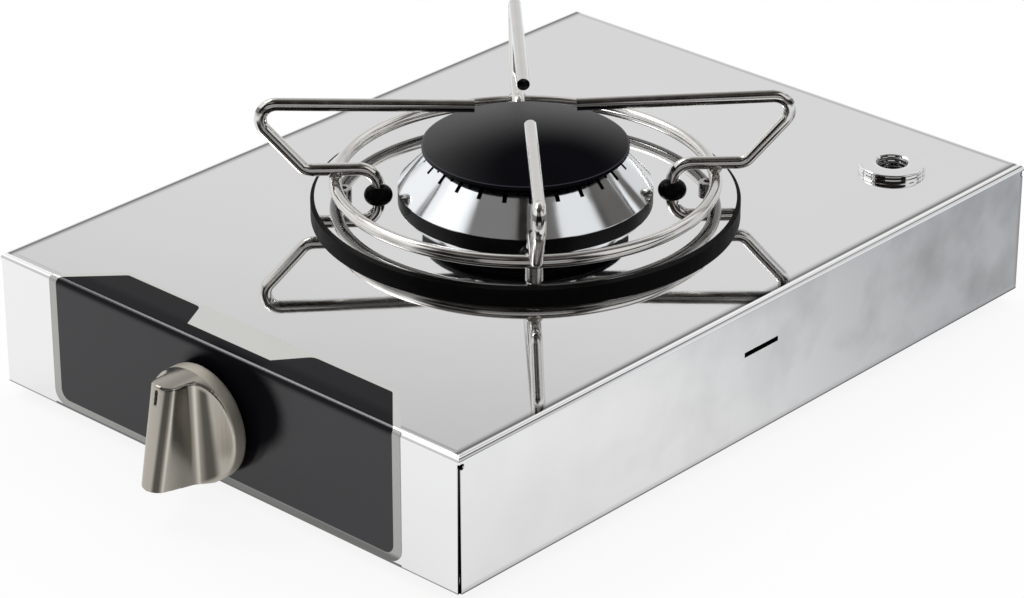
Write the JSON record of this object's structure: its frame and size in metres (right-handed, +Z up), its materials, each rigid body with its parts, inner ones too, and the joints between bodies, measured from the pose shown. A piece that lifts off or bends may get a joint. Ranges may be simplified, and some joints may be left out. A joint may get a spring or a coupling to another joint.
{
  "type": "tabletop gas stove",
  "caption": "Low folded steel gas stove with a round burner on a raised plate, wire pot support, front control panel and push-and-turn knob.",
  "frame": {"origin": "on the resting plane, at the centre of the four feet", "axes": "+Z up, +Y to the back (the knob faces -Y), +X to the right seen from the front"},
  "size_m": [0.255, 0.4001, 0.1131],
  "materials": {
    "polished_steel": "polished",
    "plain_steel": "plain",
    "dark_steel": "blackened",
    "screw_steel": "plain",
    "wire_steel": "polished",
    "rubber": "matte",
    "printed_film": "satin, with a bare silver border",
    "black_casting": "satin",
    "polished_aluminium": "polished",
    "black_enamel": "satin",
    "brass": "machined",
    "copper": "drawn",
    "satin_nickel": "satin",
    "black_inlay": "satin"
  },
  "bodies": {
    "stove": {"casing": "polished_steel", "base_plate": "plain_steel", "base_screws": "dark_steel", "rubber_feet": "rubber", "foot_screws": "plain_steel", "foot_nuts": "plain_steel", "panel_film": "printed_film", "riser_ring": "rubber", "burner_plate": "polished_steel", "plate_spacers": "plain_steel", "plate_screws": "screw_steel", "plate_nuts": "plain_steel", "grommets": "rubber", "burner_cup": "black_casting", "burner_screws": "screw_steel", "burner_nuts": "plain_steel", "injector_bracket": "plain_steel", "bracket_screws": "screw_steel", "injector_holder": "brass", "injector_nut": "brass", "injector_jet": "brass", "tap_body": "brass", "tap_plug": "brass", "tap_nut": "plain_steel", "feed_pipe": "copper", "inlet_pipe": "copper", "pipe_nuts": "brass", "inlet_fitting": "brass", "inlet_nut": "brass", "threaded_bush": "polished_steel", "bush_nut": "plain_steel"},
    "pot_support": {"support_ring": "wire_steel", "support_arm_front": "wire_steel", "support_arm_right": "wire_steel", "support_arm_back": "wire_steel", "support_arm_left": "wire_steel"},
    "spreader": {"flame_spreader": "polished_aluminium"},
    "cap": {"burner_cap": "black_enamel"},
    "tap_push": {"valve_pin": "screw_steel", "return_spring": "screw_steel"},
    "tap_turn": {"tap_spindle": "screw_steel", "knob": "satin_nickel", "knob_insert": "dark_steel", "knob_pointer": "black_inlay"}
  },
  "joints": [
    {"name": "support_lift", "type": "slide", "parent": "stove", "child": "pot_support", "axis": [0, 0, 1], "range_m": [0, 0.06]},
    {"name": "spreader_lift", "type": "slide", "parent": "stove", "child": "spreader", "axis": [0, 0, 1], "range_m": [0, 0.005]},
    {"name": "cap_lift", "type": "slide", "parent": "spreader", "child": "cap", "axis": [0, 0, 1], "range_m": [0, 0.006]},
    {"name": "knob_push", "type": "slide", "parent": "stove", "child": "tap_push", "axis": [0, 1, 0], "range_m": [0, 0.0028], "stiffness_N_per_m": 2500, "springref_m": -0.003},
    {"name": "knob_turn", "type": "hinge", "parent": "tap_push", "child": "tap_turn", "pos_m": [-0.0055, -0.175, 0.0333], "axis": [0, -1, 0], "range_deg": [0, 210]}
  ]
}
